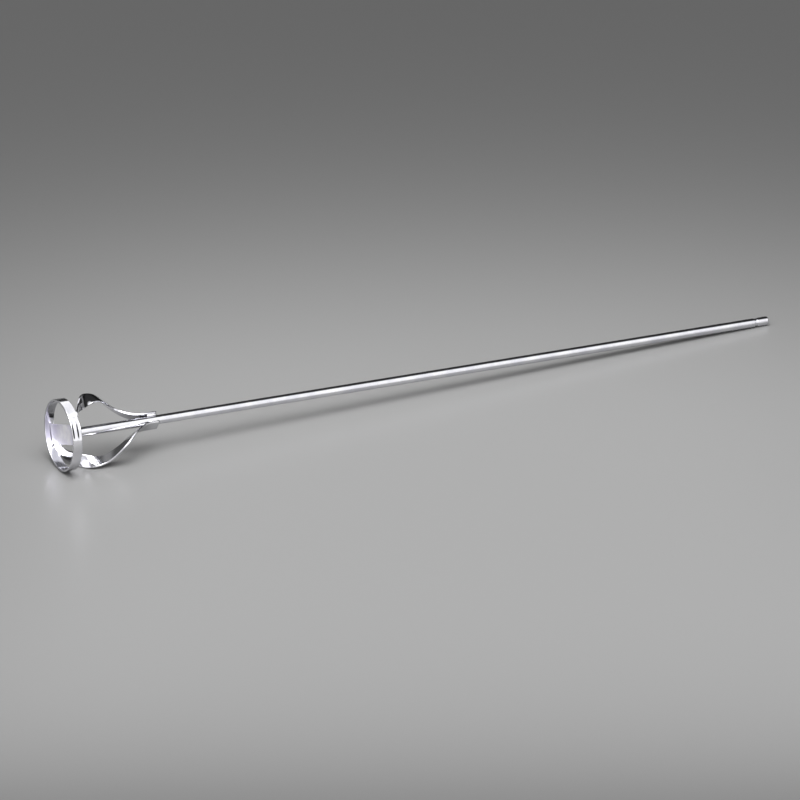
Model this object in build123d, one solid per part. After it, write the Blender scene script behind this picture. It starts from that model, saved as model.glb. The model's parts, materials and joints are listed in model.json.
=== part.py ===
from build123d import *
import os
from math import atan, cos, degrees, radians, sin

# A drill-driven mixing paddle: a long round bar with a ringed stirring head welded to one end
# and a short necked shank on the other. It is modelled along +X with the ring's front rim at
# x = 0, then laid down as it rests on a floor: on the lower blade's bulge, which stands a little
# proud of the ring, and on the shank's end.

# ---------------------------------------------------------------- driving dimensions, mm
TOOL_LENGTH = 700.0
SHAFT_DIAMETER = 8.0
RING_DIAMETER = 62.0
RING_HEIGHT = 8.5
SHEET = 1.8  # thickness of the ring band, the cross plate and the blades

SHANK_LENGTH = 12.0
NECK_LENGTH = 2.5
NECK_DIAMETER = 6.6
SHANK_CHAMFER = 1.0

PLATE_WIDTH = 17.0
PLATE_FRONT = 5.0  # from the ring's front rim to the plate's front face
PLATE_ANGLE = 20.0  # the plate runs across the ring at this angle above the near side

BLADE_WIDTH = 11.2
BULGE_X = 21.0  # the lowest point of the lower blade, behind the ring's front rim
BULGE_DROP = 31.4  # and below the shaft's axis
TAB_START = 82.0  # where the blade has come flat against the shaft
TAB_END = 91.0
TAB_ANGLE = 144.0

WELD_LEG = 1.6
PLATE_WELD_ARC = 24.0
TACK_RADIUS = 2.2
TACK_ANGLE = 57.0  # where a blade passes the ring's rear rim
SEAM_ANGLE = 232.0
SEAM_BEAD_R = 1.9
SEAM_DEPTH = 1.3  # from the ring's outside in to the bead's centre
TAB_BEAD_REACH = 4.4  # half the width over both beads under a tab
TAB_BEAD_FOOT = 58.0  # where a bead ends on the shaft, in degrees from the tab's middle

SHAFT_R = SHAFT_DIAMETER / 2
RING_R = RING_DIAMETER / 2
RING_INNER_R = RING_R - SHEET
PLATE_BACK = PLATE_FRONT + SHEET
PLATE_MIDDLE = PLATE_FRONT + SHEET / 2
SHANK_REST_X = TOOL_LENGTH - SHANK_CHAMFER
REST_TILT = degrees(atan((BULGE_DROP - SHAFT_R) / (SHANK_REST_X - BULGE_X)))

# The blade's middle line, from the plate to the shaft. Each station is the distance behind
# the ring's front rim, the angle round the shaft, the radius, and how far the blade's width
# leans from the radial direction towards the tangent.
BLADE_STATIONS = [
    (PLATE_MIDDLE, 40, RING_INNER_R - BLADE_WIDTH / 2, -20),
    (8.5, 58, 23.8, -20),
    (13.5, 76, 24.6, -12),
    (20.5, 92, 25.7, 10),
    (30.0, 107, 27.0, 42),
    (39.0, 113, 26.2, 60),
    (48.0, 129, 22.0, 60),
    (57.0, 147, 17.3, 52),
    (66.0, 154, 10.8, 60),
    (74.5, 150, 6.3, 76),
    (TAB_START, TAB_ANGLE, SHAFT_R + SHEET / 2, 90),
    (TAB_END, TAB_ANGLE, SHAFT_R + SHEET / 2, 90),
]
FROM_BASE = (Align.CENTER, Align.CENTER, Align.MIN)


# ---------------------------------------------------------------- helpers
def around(x, angle, radius):
    """A point at a distance along the shaft, an angle round it and a radius. Angle 0 is the
    near side, -Y, and 90 is the top."""
    turn = radians(angle)
    return Vector(x, -radius * cos(turn), radius * sin(turn))


def outward(angle):
    return around(0, angle, 1)


def half_turn(piece):
    """The same piece on the other side of the shaft."""
    return Rot(180, 0, 0) * piece


def along_shaft(x):
    """A plane square to the shaft, facing the shank."""
    return Plane(origin=(x, 0, 0), x_dir=(0, 1, 0), z_dir=(1, 0, 0))


def rod(x, radius, length):
    return along_shaft(x) * Cylinder(radius, length, align=FROM_BASE)


def turned_bead(x, radius, radial_leg, start=0.0, arc=360.0):
    """A three-cornered weld bead against the plate's back, turned about the shaft's axis."""
    corners = [(x, radius), (x + WELD_LEG, radius), (x, radius + radial_leg)]
    bead = revolve(make_face(Polyline(*corners, close=True)), Axis.X, arc)
    return Rot(180 - arc - start, 0, 0) * bead


# ---------------------------------------------------------------- pieces
def make_shaft():
    """The bar from the cross plate's back to the neck, and the shank beyond it."""
    shank_start = TOOL_LENGTH - SHANK_LENGTH
    neck_start = shank_start - NECK_LENGTH
    bar = rod(PLATE_BACK, SHAFT_R, neck_start - PLATE_BACK)
    neck = rod(neck_start, NECK_DIAMETER / 2, NECK_LENGTH)
    shaft = bar + neck + rod(shank_start, SHAFT_R, SHANK_LENGTH)
    end = shaft.faces().sort_by(Axis.X)[-1]
    return chamfer(end.edges(), SHANK_CHAMFER)


def make_ring():
    return rod(0, RING_R, RING_HEIGHT) - rod(0, RING_INNER_R, RING_HEIGHT)


def make_cross_plate():
    """A flat bar across the ring, square to the shaft, with its ends rounded to the ring."""
    bar = Box(SHEET, 2 * RING_INNER_R, PLATE_WIDTH)
    bar = Pos(PLATE_MIDDLE, 0, 0) * Rot(-PLATE_ANGLE, 0, 0) * bar
    return bar & rod(PLATE_FRONT, RING_INNER_R, SHEET)


def blade_section(index):
    """The blade's thin rectangular section at one station, square to its middle line."""
    middles = [around(x, angle, radius) for x, angle, radius, _ in BLADE_STATIONS]
    before = middles[max(index - 1, 0)]
    after = middles[min(index + 1, len(middles) - 1)]
    _, angle, _, lean = BLADE_STATIONS[index]
    run = (after - before).normalized()
    if index == 0:
        # leaves the plate's long side square to it
        run = outward(PLATE_ANGLE + 90)
    if index >= len(middles) - 2:
        # the tab lies straight along the shaft
        run = Vector(1, 0, 0)
    across = outward(angle) * cos(radians(lean)) + outward(angle + 90) * sin(radians(lean))
    across = (across - run * across.dot(run)).normalized()
    plane = Plane(origin=middles[index], x_dir=across, z_dir=run)
    return plane * Rectangle(BLADE_WIDTH, SHEET)


def make_blade(shaft, ring, plate):
    """A strip that leaves the plate along the ring's inside and winds back to the shaft."""
    sections = [blade_section(i) for i in range(len(BLADE_STATIONS))]
    blade = loft(sections) - shaft - ring - plate
    return blade.solids().sort_by(SortBy.VOLUME)[-1]


def make_seam_weld():
    """The bead over the joint in the ring band, across its outside."""
    plane = Plane(origin=around(0, SEAM_ANGLE, RING_R - SEAM_DEPTH), z_dir=(1, 0, 0))
    return plane * Cylinder(SEAM_BEAD_R, RING_HEIGHT, align=FROM_BASE) - rod(0, RING_R, RING_HEIGHT)


def make_shaft_weld():
    """The fillet round the shaft's end, where it stands on the plate."""
    return turned_bead(PLATE_BACK, SHAFT_R, WELD_LEG)


def make_plate_weld():
    """The fillet that holds one end of the plate in the ring."""
    start = PLATE_ANGLE - PLATE_WELD_ARC / 2
    return turned_bead(PLATE_BACK, RING_INNER_R, -WELD_LEG, start, PLATE_WELD_ARC)


def make_blade_weld(ring, blade):
    """The tack where a blade's outer edge leaves the ring's rear rim."""
    tack = Pos(around(RING_HEIGHT, TACK_ANGLE, RING_INNER_R)) * Sphere(TACK_RADIUS)
    return tack - ring - blade


def make_tab_weld(shaft, blade, side):
    """A bead along one side of a tab, in the corner between it and the round shaft."""
    tab_plane = Plane(origin=(TAB_START, 0, 0), x_dir=outward(TAB_ANGLE + 90), z_dir=(1, 0, 0))
    foot = radians(TAB_BEAD_FOOT)
    outline = Polyline(
        (0, 0),
        (side * SHAFT_R * sin(foot), SHAFT_R * cos(foot)),
        (side * TAB_BEAD_REACH, SHAFT_R),
        (0, SHAFT_R),
        close=True,
    )
    bead = tab_plane * extrude(make_face(outline), TAB_END - TAB_START) - shaft - blade
    return bead.solids().sort_by(SortBy.VOLUME)[-1]


# ---------------------------------------------------------------- assembly
def build():
    shaft = make_shaft()
    ring = make_ring()
    plate = make_cross_plate()
    blade = make_blade(shaft, ring, plate)
    pieces = {
        "shaft": shaft,
        "ring_band": ring,
        "cross_plate": plate,
        "ring_seam_weld": make_seam_weld(),
        "shaft_weld": make_shaft_weld(),
    }
    paired = {
        "blade": blade,
        "plate_weld": make_plate_weld(),
        "blade_weld": make_blade_weld(ring, blade),
        "tab_weld_upper": make_tab_weld(shaft, blade, -1),
        "tab_weld_lower": make_tab_weld(shaft, blade, 1),
    }
    for name, piece in paired.items():
        pieces[f"{name}_a"] = piece
        pieces[f"{name}_b"] = half_turn(piece)
    return pieces


def lay_down(pieces):
    """Tilts the tool on to its lower blade and shank, and puts the origin under its middle."""
    laid = {name: Rot(0, REST_TILT, 0) * piece for name, piece in pieces.items()}
    box = Compound(children=[piece.moved(Location()) for piece in laid.values()]).bounding_box()
    middle = box.center()
    to_origin = Pos(-middle.X, -middle.Y, -box.min.Z)
    return {name: to_origin * piece for name, piece in laid.items()}


os.makedirs("parts", exist_ok=True)
for name, piece in lay_down(build()).items():
    piece.label = name
    export_step(piece, f"parts/{name}.step")
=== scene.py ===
import json
from math import cos, exp, pi, radians, sin, sqrt

import bpy
import numpy as np
from mathutils import Matrix, Vector, noise


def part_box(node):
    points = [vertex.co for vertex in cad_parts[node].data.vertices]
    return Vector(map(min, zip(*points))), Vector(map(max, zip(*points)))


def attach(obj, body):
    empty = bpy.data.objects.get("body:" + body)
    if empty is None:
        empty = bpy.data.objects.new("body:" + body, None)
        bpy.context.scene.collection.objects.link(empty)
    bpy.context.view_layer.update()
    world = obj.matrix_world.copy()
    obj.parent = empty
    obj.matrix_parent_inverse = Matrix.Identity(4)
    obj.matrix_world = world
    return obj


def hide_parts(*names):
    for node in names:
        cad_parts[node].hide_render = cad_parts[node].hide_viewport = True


# The looks of a drill-driven mixing paddle. A finer mesh takes the place of each CAD solid, with
# rounded edges, rippled weld beads and a ring drawn in over its welds. The pieces are made in the
# tool's own axes, with x along the shaft from the ring's front rim, and TOOL lays them where the
# CAD tool lies.
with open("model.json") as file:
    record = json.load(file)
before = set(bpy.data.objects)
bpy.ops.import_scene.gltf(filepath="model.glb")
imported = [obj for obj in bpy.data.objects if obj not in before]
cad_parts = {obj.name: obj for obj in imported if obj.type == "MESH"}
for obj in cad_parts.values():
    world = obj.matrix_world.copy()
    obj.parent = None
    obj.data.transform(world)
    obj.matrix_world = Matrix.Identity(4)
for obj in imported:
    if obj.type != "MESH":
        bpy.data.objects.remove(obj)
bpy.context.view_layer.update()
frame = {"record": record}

# ---------------------------------------------------------------- sizes, in metres and degrees
MM = 0.001
TOOL_LENGTH = 700.0 * MM
SHAFT_R = 4.0 * MM
SHANK_LENGTH = 12.0 * MM
SHANK_CHAMFER = 1.0 * MM
NECK_LENGTH = 2.5 * MM
NECK_R = 3.3 * MM
TURNED_ROUND = 0.25 * MM  # the corners on the turned shank

SHEET = 1.8 * MM  # thickness of the ring band, the cross plate and the blades
EDGE_ROUND = 0.45 * MM  # their rolled edges
SUPPORT = 0.3  # how far a support point lies from a rounded edge, as a share of its radius

RING_R = 31.0 * MM
RING_INNER_R = RING_R - SHEET
RING_HEIGHT = 8.5 * MM
PLATE_WIDTH = 17.0 * MM
PLATE_FRONT = 5.0 * MM  # from the ring's front rim to the plate's front face
PLATE_BACK = PLATE_FRONT + SHEET
PLATE_MIDDLE = PLATE_FRONT + SHEET / 2
PLATE_ANGLE = 20.0  # the plate runs across the ring at this angle above the near side

HOLLOWS = (2.3 * MM, 6.3 * MM)  # from the ring's front rim to each hollow's middle
HOLLOW_DEPTH = 0.6 * MM
HOLLOW_REACH = 1.35 * MM  # each way
HOLLOW_ANGLE = PLATE_ANGLE + 8.0
HOLLOW_ARC = 11.5  # each way

BLADE_WIDTH = 11.2 * MM
TAB_START = 82.0 * MM  # where the blade has come flat against the shaft
TAB_END = 91.0 * MM
TAB_ANGLE = 144.0
TAB_R = SHAFT_R + SHEET / 2

# Each station of a blade's middle line: the distance behind the ring's front rim, the angle
# round the shaft, the radius, and how far the blade's width leans from the radial direction
# towards the tangent. They are the stations the CAD blade is lofted through.
BLADE_STATIONS = [
    (PLATE_MIDDLE, 40, RING_INNER_R - BLADE_WIDTH / 2, -20),
    (8.5 * MM, 58, 23.8 * MM, -20),
    (13.5 * MM, 76, 24.6 * MM, -12),
    (20.5 * MM, 92, 25.7 * MM, 10),
    (30.0 * MM, 107, 27.0 * MM, 42),
    (39.0 * MM, 113, 26.2 * MM, 60),
    (48.0 * MM, 129, 22.0 * MM, 60),
    (57.0 * MM, 147, 17.3 * MM, 52),
    (66.0 * MM, 154, 10.8 * MM, 60),
    (74.5 * MM, 150, 6.3 * MM, 76),
    (TAB_START, TAB_ANGLE, TAB_R, 90),
    (TAB_END, TAB_ANGLE, TAB_R, 90),
]

# A bead's size is half its width and half its height.
WELD_LEG = 1.6 * MM
FILLET_INSET = WELD_LEG * 0.3  # from a corner to the middle of the bead in it
FILLET_SIZE = (WELD_LEG * 0.62, WELD_LEG * 0.42)
PLATE_WELD_ARC = 12.0  # each way
TACK_ANGLE = 57.0  # where a blade passes the ring's rear rim
TACK_ARC = 5.0  # each way
TACK_INSET = 0.2 * MM
TACK_SIZE = (1.7 * MM, 1.4 * MM)
TAB_BEAD_OUT = 3.2 * MM  # a bead's middle, from the shaft's axis towards the tab
TAB_BEAD_ACROSS = 3.9 * MM  # and from there across the tab
TAB_BEAD_LEAN = 0.45  # how far its crown leans back towards the shaft
TAB_BEAD_SIZE = (1.0 * MM, 0.75 * MM)
SEAM_ANGLE = 232.0
SEAM_BARE = 0.03  # the share of the band left bare beyond each end of the seam's bead
SEAM_SIZE = (1.4 * MM, 0.5 * MM)

RIPPLE_LENGTH = 0.55 * MM
RIPPLE_SWELL = 0.10
RIPPLE_RISE = 0.6  # under 1, so that a ripple rises fast at first
LUMP_SWELL = 0.12
LUMPS = 600  # for each metre
BEAD_TIP = 0.02  # an open bead's size at its ends, as a share of its middle

# ---------------------------------------------------------------- where the tool lies
shank_mount = frame["record"]["mounts"][0]
AXIS = Vector(shank_mount["axis"]).normalized()
UP = AXIS.cross(Vector((0, 1, 0)))
ring_low, ring_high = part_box("ring_band")
RING_FRONT = (ring_low + ring_high) / 2 - AXIS * RING_HEIGHT / 2
TOOL = Matrix.Translation(RING_FRONT) @ Matrix((AXIS, (0, 1, 0), UP)).transposed().to_4x4()
HALF_TURN = Matrix.Rotation(pi, 4, "X")


def around(x, angle, radius):
    """A point in the tool's own axes, at a distance along the shaft, an angle round it and a
    radius. Angle 0 is the near side, -Y, and 90 is the top."""
    turn = radians(angle)
    return Vector((x, -radius * cos(turn), radius * sin(turn)))


def outward(angle):
    return around(0, angle, 1)


# ---------------------------------------------------------------- mesh helpers
def spline(stations, count):
    """Points on a natural cubic spline through the stations, evenly spaced by the chords between
    them. A station's first three numbers are its place, and the rest are carried along."""
    stations = np.array(stations, float)
    steps = np.linalg.norm(np.diff(stations[:, :3], axis=0), axis=1)
    knots = np.concatenate([[0], np.cumsum(steps)])
    size = len(knots)
    system = np.eye(size)
    right = np.zeros_like(stations)
    for i in range(1, size - 1):
        before, after = steps[i - 1], steps[i]
        system[i, i - 1:i + 2] = before, 2 * (before + after), after
        slopes = (stations[i + 1] - stations[i]) / after - (stations[i] - stations[i - 1]) / before
        right[i] = 6 * slopes
    bend = np.linalg.solve(system, right)
    points = []
    for t in np.linspace(0, knots[-1], count):
        i = min(np.searchsorted(knots, t, side="right") - 1, size - 2)
        h = steps[i]
        a = (knots[i + 1] - t) / h
        b = 1 - a
        curve = ((a ** 3 - a) * bend[i] + (b ** 3 - b) * bend[i + 1]) * h ** 2 / 6
        points.append(a * stations[i] + b * stations[i + 1] + curve)
    return points


def rounded_rectangle(width, height, radius, steps=5):
    """Points round a rectangle with rounded corners, with a support point on each side of a
    corner so that the flat sides shade flat."""
    points = []
    corners = [(1, 1, 0), (-1, 1, 90), (-1, -1, 180), (1, -1, 270)]
    for side_x, side_y, start in corners:
        centre = Vector((side_x * (width / 2 - radius), side_y * (height / 2 - radius)))
        arc = [
            centre + radius * Vector((cos(turn), sin(turn)))
            for turn in (radians(start + 90 * i / steps) for i in range(steps + 1))
        ]
        tangent_in = Vector((sin(radians(start)), -cos(radians(start))))
        tangent_out = Vector((-sin(radians(start + 90)), cos(radians(start + 90))))
        points.append(arc[0] + tangent_in * radius * SUPPORT)
        points.extend(arc)
        points.append(arc[-1] + tangent_out * radius * SUPPORT)
    return points


def divided(outline, step):
    """The same closed outline, with its long sides divided into steps of about this length."""
    points = []
    for start, end in zip(outline, outline[1:] + outline[:1]):
        parts = max(1, round((end - start).length / step))
        points.extend(start.lerp(end, i / parts) for i in range(parts))
    return points


def sweep(sections, closed=False):
    """Skins a list of equal rings of points. The ends are capped unless the sweep is closed.
    Grain holds the distance along the sweep and the distance round the section."""
    count = len(sections[0])
    points = [p for section in sections for p in section]
    grain = []
    along = 0.0
    for i, section in enumerate(sections):
        if i:
            along += (sum(section, Vector()) - sum(sections[i - 1], Vector())).length / count
        across = 0.0
        for j, point in enumerate(section):
            if j:
                across += (point - section[j - 1]).length
            grain.append((along, across, 0.0))
    faces = []
    last = len(sections) if closed else len(sections) - 1
    for i in range(last):
        start, after = i * count, (i + 1) % len(sections) * count
        for j in range(count):
            k = (j + 1) % count
            faces.append((start + j, after + j, after + k, start + k))
    if not closed:
        faces.append(tuple(range(count)))
        faces.append(tuple(reversed(range((len(sections) - 1) * count, len(sections) * count))))
    return points, faces, grain


def turned(profile, segments=96):
    """Turns a profile of (x, radius) about the shaft's axis, closed at both ends."""
    sections = [
        [around(x, 360 * j / segments, radius) for j in range(segments)] for x, radius in profile
    ]
    return sweep(sections)


def add_piece(name, points, faces, grain, slot, replaced, matrix=None):
    """A smooth-shaded mesh piece that rides on the tool and stands for one CAD node."""
    mesh = bpy.data.meshes.new(name)
    mesh.from_pydata([tuple(p) for p in points], [], faces)
    mesh.transform(TOOL @ matrix if matrix else TOOL)
    mesh.shade_smooth()
    attribute = mesh.attributes.new("grain", "FLOAT_VECTOR", "POINT")
    attribute.data.foreach_set("vector", [value for entry in grain for value in entry])
    mesh.validate()
    piece = bpy.data.objects.new(name, mesh)
    bpy.context.scene.collection.objects.link(piece)
    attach(piece, "root")
    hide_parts(replaced)
    return piece


def add_pair(name, skin, slot, replaced):
    """The same piece on both sides of the shaft, half a turn apart."""
    return [
        add_piece(f"{name}_a", *skin, slot, f"{replaced}_a"),
        add_piece(f"{name}_b", *skin, slot, f"{replaced}_b", HALF_TURN),
    ]


# ---------------------------------------------------------------- the five strips and bars
def round_corner(profile, x, radius, x_side, r_side, steps=4):
    """Adds a small quarter round to a turned profile at the corner (x, radius), with a support
    point beside it on the bar's length so that the length shades straight. x_side is 1 where
    that length ends at the corner and -1 where it starts, and r_side is 1 for an outside corner
    and -1 for an inside one."""
    size = TURNED_ROUND
    support_place = 1.6  # from the corner, as a multiple of its size
    support = (x - x_side * size * support_place, radius)
    if x_side > 0:
        profile.append(support)
    for i in range(steps + 1):
        turn = radians(90 * i / steps)
        along = sin(turn) if x_side > 0 else cos(turn)
        out = cos(turn) if x_side > 0 else sin(turn)
        profile.append((x - x_side * size * (1 - along), radius - r_side * size * (1 - out)))
    if x_side < 0:
        profile.append(support)


def make_shaft():
    """The bar, turned down at the neck, with the two corners of the end's chamfer eased."""
    start = PLATE_BACK + 0.01 * MM  # a hair clear of the plate
    centre_r = 0.1 * MM  # the end's flat is capped from here in
    shank_start = TOOL_LENGTH - SHANK_LENGTH
    neck_start = shank_start - NECK_LENGTH
    spans = 70
    profile = [(start, SHAFT_R)]
    for i in range(1, spans):
        profile.append((PLATE_BACK + (neck_start - PLATE_BACK) * i / spans, SHAFT_R))
    round_corner(profile, neck_start, SHAFT_R, 1, 1)
    round_corner(profile, neck_start, NECK_R, -1, -1)
    round_corner(profile, shank_start, NECK_R, 1, -1)
    round_corner(profile, shank_start, SHAFT_R, -1, 1)

    chamfer_start = TOOL_LENGTH - SHANK_CHAMFER
    end_r = SHAFT_R - SHANK_CHAMFER
    profile.extend([
        (chamfer_start - TURNED_ROUND * 2, SHAFT_R),
        (chamfer_start - TURNED_ROUND, SHAFT_R),
        (chamfer_start - TURNED_ROUND / 4, SHAFT_R - TURNED_ROUND / 8),
        (chamfer_start + TURNED_ROUND / 4, SHAFT_R - TURNED_ROUND / 3),
        (TOOL_LENGTH - TURNED_ROUND / 3, end_r + TURNED_ROUND / 4),
        (TOOL_LENGTH, end_r - TURNED_ROUND / 4),
        (TOOL_LENGTH, end_r - TURNED_ROUND),
        (TOOL_LENGTH, centre_r),
    ])
    return add_piece("shaft_turned", *turned(profile), "shaft", "shaft")


def weld_draw(x, angle):
    """How far the welds at the cross plate's ends draw in the band's outside, as two hollows
    side by side."""
    off = (angle - HOLLOW_ANGLE + 90) % 180 - 90
    round_ring = exp(-(off / HOLLOW_ARC) ** 4)
    across_band = sum(exp(-((x - middle) / HOLLOW_REACH) ** 2) for middle in HOLLOWS)
    return HOLLOW_DEPTH * round_ring * across_band


def make_ring():
    """A strip rolled into a ring, with its edges rounded and drawn in over the plate's welds."""
    step = 0.35 * MM
    turns = 360
    section = divided(rounded_rectangle(RING_HEIGHT, SHEET, EDGE_ROUND), step)
    middle = RING_R - SHEET / 2
    sections = []
    for i in range(turns):
        angle = 360 * i / turns
        ring = []
        for p in section:
            x = RING_HEIGHT / 2 + p.x
            outside = 0.5 + p.y / SHEET  # 0 on the band's inside and 1 on its outside
            radius = middle + p.y - outside * weld_draw(x, angle)
            ring.append(around(x, angle, radius))
        sections.append(ring)
    return add_piece("ring_rolled", *sweep(sections, closed=True), "ring", "ring_band")


def make_cross_plate():
    """A strip across the ring, with its ends cut round to fit."""
    section = rounded_rectangle(PLATE_WIDTH, SHEET, EDGE_ROUND / 2)
    along = outward(PLATE_ANGLE)
    across = outward(PLATE_ANGLE + 90)
    spans = 40
    sections = []
    for i in range(spans + 1):
        share = 2 * i / spans - 1
        ring = []
        for p in section:
            reach = sqrt(RING_INNER_R ** 2 - p.x ** 2)
            ring.append(along * share * reach + across * p.x + Vector((PLATE_MIDDLE + p.y, 0, 0)))
        sections.append(ring)
    return add_piece("plate_flat", *sweep(sections), "plate", "cross_plate")


def blade_sections(count=170):
    """Rings of points along the blade. The tab's end is rounded over like the edges."""
    step = 5.0 * MM
    least_round = 0.05 * MM
    stations = []
    for x, angle, radius, lean in BLADE_STATIONS:
        turn = radians(lean)
        across = outward(angle) * cos(turn) + outward(angle + 90) * sin(turn)
        stations.append((*around(x, angle, radius), *across))
    line = spline(stations, count)
    middles = [Vector(entry[:3]) for entry in line]
    sections = []
    for i, middle in enumerate(middles):
        run = (middles[min(i + 1, count - 1)] - middles[max(i - 1, 0)]).normalized()
        across = Vector(line[i][3:])
        across = (across - run * across.dot(run)).normalized()
        face = across.cross(run)
        inset = 0.0
        left = (middles[-1] - middle).length
        if left < EDGE_ROUND:
            inset = EDGE_ROUND - sqrt(EDGE_ROUND ** 2 - (EDGE_ROUND - left) ** 2)
        radius = max(EDGE_ROUND - inset, least_round)
        outline = rounded_rectangle(BLADE_WIDTH - 2 * inset, SHEET - 2 * inset, radius)
        outline = divided(outline, step)
        sections.append([middle + across * p.x + face * p.y for p in outline])
    return sections


def make_blades():
    return add_pair("blade_strip", sweep(blade_sections()), "blade", "blade")


# ---------------------------------------------------------------- the ten welds
def bead(spine, crowns, size, closed=False, sides=18):
    """A weld bead: an ellipse swept along a spine, its crown towards the given directions.
    Each ripple swells and then drops at once, and an open bead closes over at both ends."""
    half_width, half_height = size
    count = len(spine)
    lengths = [0.0]
    for before, after in zip(spine, spine[1:]):
        lengths.append(lengths[-1] + (after - before).length)
    total = lengths[-1] + ((spine[0] - spine[-1]).length if closed else 0)
    ripples = max(3, round(total / RIPPLE_LENGTH))
    sections = []
    for i, point in enumerate(spine):
        before = spine[i - 1] if i or closed else spine[0]
        after = spine[(i + 1) % count] if i < count - 1 or closed else spine[-1]
        run = (after - before).normalized()
        crown = (crowns[i] - run * crowns[i].dot(run)).normalized()
        side = run.cross(crown)
        share = lengths[i] / total
        phase = share * ripples % 1
        ripple = RIPPLE_SWELL * (phase ** RIPPLE_RISE - RIPPLE_RISE)
        swell = 1 + ripple + LUMP_SWELL * noise.noise(point * LUMPS)
        if not closed:
            swell *= sqrt(max(1 - (2 * share - 1) ** 4, BEAD_TIP ** 2))
        sections.append([
            point
            + side * half_width * swell * cos(2 * pi * j / sides)
            + crown * half_height * swell * sin(2 * pi * j / sides)
            for j in range(sides)
        ])
    return sweep(sections, closed)


def bead_inside(x, radius, middle_angle, half_arc, size, count):
    """A bead round part of the ring's inside, its crown towards the axis and the shank."""
    angles = [middle_angle + half_arc * (2 * i / (count - 1) - 1) for i in range(count)]
    spine = [around(x, angle, radius) for angle in angles]
    crowns = [Vector((1, 0, 0)) - outward(angle) for angle in angles]
    return bead(spine, crowns, size)


def make_shaft_weld():
    """A fillet all the way round the shaft's end, in the corner with the plate."""
    count = 260
    x = PLATE_BACK + FILLET_INSET
    radius = SHAFT_R + FILLET_INSET
    angles = [360 * i / count for i in range(count)]
    spine = [around(x, angle, radius) for angle in angles]
    crowns = [outward(angle) + Vector((1, 0, 0)) for angle in angles]
    return add_piece("weld_shaft", *bead(spine, crowns, FILLET_SIZE, closed=True), "weld", "shaft_weld")


def make_plate_welds():
    """A short fillet at each end of the plate, against the ring's inside."""
    x = PLATE_BACK + FILLET_INSET
    radius = RING_INNER_R - FILLET_INSET
    skin = bead_inside(x, radius, PLATE_ANGLE, PLATE_WELD_ARC, FILLET_SIZE, count=120)
    return add_pair("weld_plate", skin, "weld", "plate_weld")


def make_blade_welds():
    """A tack where each blade's outer edge passes the ring's rear rim."""
    x = RING_HEIGHT + TACK_INSET
    radius = RING_INNER_R - TACK_INSET
    skin = bead_inside(x, radius, TACK_ANGLE, TACK_ARC, TACK_SIZE, count=60)
    return add_pair("weld_blade", skin, "weld", "blade_weld")


def make_tab_welds():
    """A bead along each side of each tab, in the corner with the shaft."""
    count = 110
    pieces = []
    for place, side in (("upper", -1), ("lower", 1)):
        across = outward(TAB_ANGLE + 90) * side
        out = outward(TAB_ANGLE)
        start = across * TAB_BEAD_ACROSS + out * TAB_BEAD_OUT
        spine = [
            start + Vector((TAB_START + (TAB_END - TAB_START) * i / (count - 1), 0, 0))
            for i in range(count)
        ]
        crowns = [across - out * TAB_BEAD_LEAN] * count
        skin = bead(spine, crowns, TAB_BEAD_SIZE)
        pieces.extend(add_pair(f"weld_tab_{place}", skin, "weld", f"tab_weld_{place}"))
    return pieces


def make_seam_weld():
    """The bead across the ring's outside, over its joint."""
    count = 100
    shares = [SEAM_BARE + (1 - 2 * SEAM_BARE) * i / (count - 1) for i in range(count)]
    spine = [around(RING_HEIGHT * share, SEAM_ANGLE, RING_R) for share in shares]
    crowns = [outward(SEAM_ANGLE)] * count
    return add_piece("weld_seam", *bead(spine, crowns, SEAM_SIZE), "weld", "ring_seam_weld")


# ---------------------------------------------------------------- materials
NEUTRAL = (0.64, 0.64, 0.66)
COOL = (0.54, 0.54, 0.58)
LILAC = (0.68, 0.65, 0.80)
PALE = (0.97, 0.96, 1.0)
WELD_DARK = (0.40, 0.40, 0.42)
WELD_LIGHT = (0.74, 0.74, 0.76)
FLOOR_GREY = (0.156, 0.156, 0.156)

# How much each axis of the source counts in a noise. A small number draws it out.
EVEN = (1, 1, 1)
LINES_ALONG = (0.01, 1, 1)
LINES_ACROSS = (1, 0.02, 1)

# Noise scales, in lumps for each metre.
CLOUDS = 60.0
HAZE = 260.0
LINES = 2600.0
SPATTER = 900.0

# The scale and the depth of a surface's own unevenness.
SMOOTH = (420.0, 0.02 * MM)
UNEVEN = (170.0, 0.35 * MM)


def new_material(name):
    """A new material, its node tree and its shader."""
    material = bpy.data.materials.new(name)
    material.use_nodes = True
    tree = material.node_tree
    return material, tree, tree.nodes["Principled BSDF"]


def add_node(tree, kind, **values):
    """A node whose inputs and settings are given by name."""
    node = tree.nodes.new(kind)
    for name, value in values.items():
        if name in node.inputs:
            node.inputs[name].default_value = value
        else:
            setattr(node, name, value)
    return node


def stretched_noise(tree, source, stretch, scale, detail=3.0):
    """Noise over the source's coordinates, which the stretch can draw out along an axis."""
    mapping = add_node(tree, "ShaderNodeMapping", Scale=stretch)
    grain = add_node(tree, "ShaderNodeTexNoise", Scale=scale, Detail=detail)
    tree.links.new(source, mapping.inputs["Vector"])
    tree.links.new(mapping.outputs["Vector"], grain.inputs["Vector"])
    return grain.outputs["Fac"]


def remap(tree, source, low, high, start=0.3, end=0.7):
    """Runs from low to high as the source goes from start to end, and stays there beyond."""
    node = add_node(tree, "ShaderNodeMapRange")
    node.inputs["From Min"].default_value = start
    node.inputs["From Max"].default_value = end
    node.inputs["To Min"].default_value = low
    node.inputs["To Max"].default_value = high
    tree.links.new(source, node.inputs["Value"])
    return node.outputs["Result"]


def tinted(tree, source, tints, start, end):
    """Runs from the first tint to the second as the source goes from start to end."""
    ramp = add_node(tree, "ShaderNodeValToRGB")
    for stop, position, tint in zip(ramp.color_ramp.elements, (start, end), tints):
        stop.position = position
        stop.color = (*tint, 1)
    tree.links.new(source, ramp.inputs["Fac"])
    return ramp.outputs["Color"]


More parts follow.
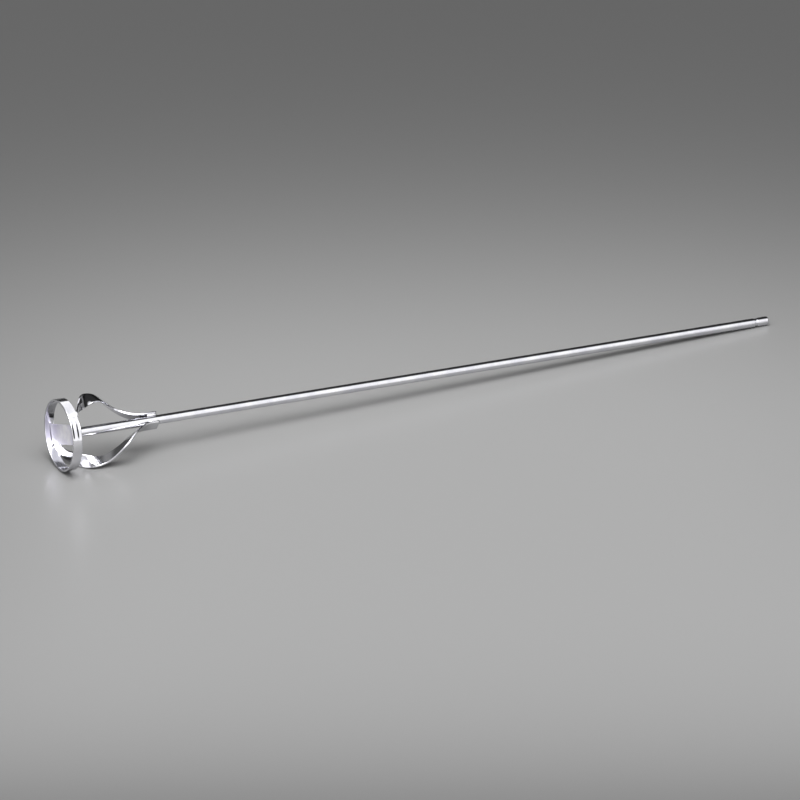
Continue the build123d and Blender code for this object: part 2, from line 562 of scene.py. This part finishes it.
def bumped(tree, height, strength, depth, under=None):
    """The surface's normal, tipped by a height, over another such normal where one is given."""
    bump = add_node(tree, "ShaderNodeBump", Strength=strength, Distance=depth)
    tree.links.new(height, bump.inputs["Height"])
    if under:
        tree.links.new(under, bump.inputs["Normal"])
    return bump.outputs["Normal"]


def plated_steel(name, tints, roughness, grain_stretch, grain_depth, waves):
    """Bright zinc over steel: cloudy tint and roughness, with the stock's drawn lines and its
    unevenness under it."""
    material, tree, shader = new_material(name)
    links = tree.links
    place = add_node(tree, "ShaderNodeTexCoord").outputs["Object"]
    grain_place = add_node(tree, "ShaderNodeAttribute", attribute_name="grain").outputs["Vector"]
    shader.inputs["Metallic"].default_value = 1.0

    clouds = stretched_noise(tree, place, EVEN, CLOUDS)
    haze = stretched_noise(tree, place, EVEN, HAZE, detail=5.0)
    links.new(tinted(tree, clouds, tints, start=0.35, end=0.68), shader.inputs["Base Color"])
    links.new(remap(tree, haze, *roughness), shader.inputs["Roughness"])

    wave_scale, wave_depth = waves
    lines = stretched_noise(tree, grain_place, grain_stretch, LINES, detail=2.0)
    hills = stretched_noise(tree, place, EVEN, wave_scale, detail=2.0)
    drawn = bumped(tree, lines, strength=0.35, depth=grain_depth)
    waved = bumped(tree, hills, strength=0.25, depth=wave_depth, under=drawn)
    links.new(waved, shader.inputs["Normal"])
    return material


def weld_metal():
    """Weld beads under the plating: duller than the strips, and mottled."""
    material, tree, shader = new_material("weld_plated")
    links = tree.links
    place = add_node(tree, "ShaderNodeTexCoord").outputs["Object"]
    shader.inputs["Metallic"].default_value = 1.0
    spatter = stretched_noise(tree, place, EVEN, SPATTER, detail=5.0)
    tint = tinted(tree, spatter, (WELD_DARK, WELD_LIGHT), start=0.3, end=0.62)
    links.new(tint, shader.inputs["Base Color"])
    links.new(remap(tree, spatter, low=0.42, high=0.24), shader.inputs["Roughness"])
    rough = bumped(tree, spatter, strength=0.5, depth=0.08 * MM)
    links.new(rough, shader.inputs["Normal"])
    return material


def floor_paint():
    """A pale satin table top."""
    material, _, shader = new_material("floor_satin")
    shader.inputs["Base Color"].default_value = (*FLOOR_GREY, 1)
    shader.inputs["Roughness"].default_value = 0.3
    shader.inputs["Specular IOR Level"].default_value = 0.44
    return material


def paint(pieces, material):
    for piece in pieces:
        piece.data.materials.append(material)


# ---------------------------------------------------------------- studio
VIEW_AZIMUTH = radians(-27.44)
VIEW_ELEVATION = radians(23.4)
CAMERA_SIDE = Vector((sin(VIEW_AZIMUTH), -cos(VIEW_AZIMUTH), 0))
CAMERA_RIGHT = Vector((-CAMERA_SIDE.y, CAMERA_SIDE.x, 0))
CAMERA_DISTANCE = 4.268
CAMERA_ACROSS = 0.2883  # from the ring's front to the picture's middle
CAMERA_UP = 0.0301
LENS = 227.4  # in mm, as is the sensor
SENSOR_WIDTH = 36.0

# How bright the sky's panel and room are. Each pair is the two ends of a fade.
PANEL_WHITE = 1.55
PANEL_BACK = (radians(88), radians(104))
PANEL_LEFT = (-0.90, -0.82)
PANEL_RIGHT = (0.82, 0.90)
ROOM_LEFT = 0.33
ROOM_RIGHT = 0.04
ROOM_MIDDLE = (-0.45, 0.10)
ROOM_LOW = 0.3  # how much of the room's light is left near the floor behind
ROOM_HORIZON = (radians(145), radians(157))

SOFTBOX_ACROSS = 0.343  # from the ring to the spot it faces, towards the camera's right
SOFTBOX_NEAR = 0.024  # and towards the camera
CARD_DISTANCE = 0.35
CARD_POWER = 4.65  # watts for each square metre


def make_floor():
    reach = 12.0
    mesh = bpy.data.meshes.new("floor")
    corners = [(-reach, -reach, 0), (reach, -reach, 0), (reach, reach, 0), (-reach, reach, 0)]
    mesh.from_pydata(corners, [], [(0, 1, 2, 3)])
    floor = bpy.data.objects.new("floor", mesh)
    bpy.context.scene.collection.objects.link(floor)
    paint([floor], floor_paint())


def combine(tree, operation, first, second):
    node = add_node(tree, "ShaderNodeMath", operation=operation)
    tree.links.new(first, node.inputs[0])
    tree.links.new(second, node.inputs[1])
    return node.outputs["Value"]


def facing(tree, place, direction):
    """How far a sky direction points the given way, from -1 to 1."""
    dot = add_node(tree, "ShaderNodeVectorMath", operation="DOT_PRODUCT")
    dot.inputs[1].default_value = direction
    tree.links.new(place, dot.inputs[0])
    return dot.outputs["Value"]


def make_sky():
    """A white panel in front and overhead in a dim room. Places are given by the elevation
    seen from the camera's side, 0 in front and 180 behind, and by how far they lie to the
    camera's right."""
    world = bpy.data.worlds.new("studio")
    bpy.context.scene.world = world
    world.use_nodes = True
    tree = world.node_tree
    place = add_node(tree, "ShaderNodeTexCoord").outputs["Generated"]
    height = facing(tree, place, Vector((0, 0, 1)))
    forward = facing(tree, place, CAMERA_SIDE)
    sideways = facing(tree, place, CAMERA_RIGHT)
    elevation = combine(tree, "ARCTAN2", height, forward)

    panel = remap(tree, elevation, PANEL_WHITE, 0.0, *PANEL_BACK)
    panel = combine(tree, "MULTIPLY", panel, remap(tree, sideways, 0.0, 1.0, *PANEL_LEFT))
    panel = combine(tree, "MULTIPLY", panel, remap(tree, sideways, 1.0, 0.0, *PANEL_RIGHT))
    room = remap(tree, sideways, ROOM_LEFT, ROOM_RIGHT, *ROOM_MIDDLE)
    low = remap(tree, elevation, 1.0, ROOM_LOW, *ROOM_HORIZON)
    room = combine(tree, "MULTIPLY", room, low)
    sky = tree.nodes["Background"]
    sky.inputs["Color"].default_value = (1, 1, 1, 1)
    tree.links.new(combine(tree, "ADD", panel, room), sky.inputs["Strength"])


def add_panel(name, target, elevation, distance, size, spread, energy):
    """A soft rectangular light that faces the target from the camera's side of it. An
    elevation over 90 degrees puts it behind."""
    light = bpy.data.lights.new(name, "AREA")
    light.shape = "RECTANGLE"
    light.size, light.size_y = size
    light.spread = radians(spread)
    light.energy = energy
    panel = bpy.data.objects.new(name, light)
    bpy.context.scene.collection.objects.link(panel)
    turn = radians(elevation)
    away = CAMERA_SIDE * cos(turn) + Vector((0, 0, sin(turn)))
    panel.location = target + away * distance
    panel.rotation_euler = away.to_track_quat("Z", "Y").to_euler()
    panel.visible_camera = False
    return panel


def add_card(name, piece, across, elevation, size):
    """A white card close over the ring that lights only one piece. Across is how far to the
    camera's right of the ring's front it is aimed."""
    width, height = size
    target = RING_FRONT + CAMERA_RIGHT * across
    power = CARD_POWER * width * height
    card = add_panel(name, target, elevation, CARD_DISTANCE, size, spread=180, energy=power)
    lit = bpy.data.collections.new(f"lit_by_{name}")
    lit.objects.link(piece)
    card.light_linking.receiver_collection = lit


def make_lights(ring, near_blade):
    """The main light is a soft panel with a grid. Two cards whiten the ring's band and the
    outer edge of the blade that leaves it on top."""
    below_ring = Vector((RING_FRONT.x, RING_FRONT.y, 0))
    middle = below_ring + CAMERA_RIGHT * SOFTBOX_ACROSS + CAMERA_SIDE * SOFTBOX_NEAR
    add_panel("softbox", middle, 64, distance=0.6, size=(1.08, 0.98), spread=70, energy=7.7)
    add_card("ring_card", ring, across=0.03, elevation=120, size=(0.40, 0.42))
    add_card("blade_card", near_blade, across=-0.045, elevation=128, size=(0.23, 0.26))


def make_camera():
    """Looks at the tool from the head's near side, from far enough for a long lens."""
    back = CAMERA_SIDE * cos(VIEW_ELEVATION) + Vector((0, 0, sin(VIEW_ELEVATION)))
    rotation = back.to_track_quat("Z", "Y")
    right = rotation @ Vector((1, 0, 0))
    up = rotation @ Vector((0, 1, 0))
    data = bpy.data.cameras.new("camera")
    data.lens = LENS
    data.sensor_width = SENSOR_WIDTH
    camera = bpy.data.objects.new("camera", data)
    bpy.context.scene.collection.objects.link(camera)
    aim = RING_FRONT + right * CAMERA_ACROSS + up * CAMERA_UP
    camera.location = aim + back * CAMERA_DISTANCE
    camera.rotation_euler = rotation.to_euler()
    bpy.context.scene.camera = camera


# ---------------------------------------------------------------- assembly
bar_steel = plated_steel(
    "bar_plated",
    tints=(COOL, NEUTRAL),
    roughness=(0.10, 0.18),
    grain_stretch=LINES_ALONG,
    grain_depth=0.012 * MM,
    waves=SMOOTH,
)
strip_steel = plated_steel(
    "strip_plated",
    tints=(COOL, NEUTRAL),
    roughness=(0.08, 0.17),
    grain_stretch=LINES_ALONG,
    grain_depth=0.012 * MM,
    waves=UNEVEN,
)
plate_steel = plated_steel(
    "plate_plated",
    tints=(PALE, LILAC),
    roughness=(0.46, 0.60),
    grain_stretch=LINES_ACROSS,
    grain_depth=0.02 * MM,
    waves=SMOOTH,
)
weld_steel = weld_metal()

paint([make_shaft()], bar_steel)
ring = make_ring()
blades = make_blades()
paint([ring, *blades], strip_steel)
paint([make_cross_plate()], plate_steel)
paint([make_shaft_weld(), *make_plate_welds(), *make_blade_welds()], weld_steel)
paint([*make_tab_welds(), make_seam_weld()], weld_steel)

make_floor()
make_sky()
make_lights(ring, blades[0])
make_camera()
bpy.context.scene.view_settings.view_transform = "Standard"
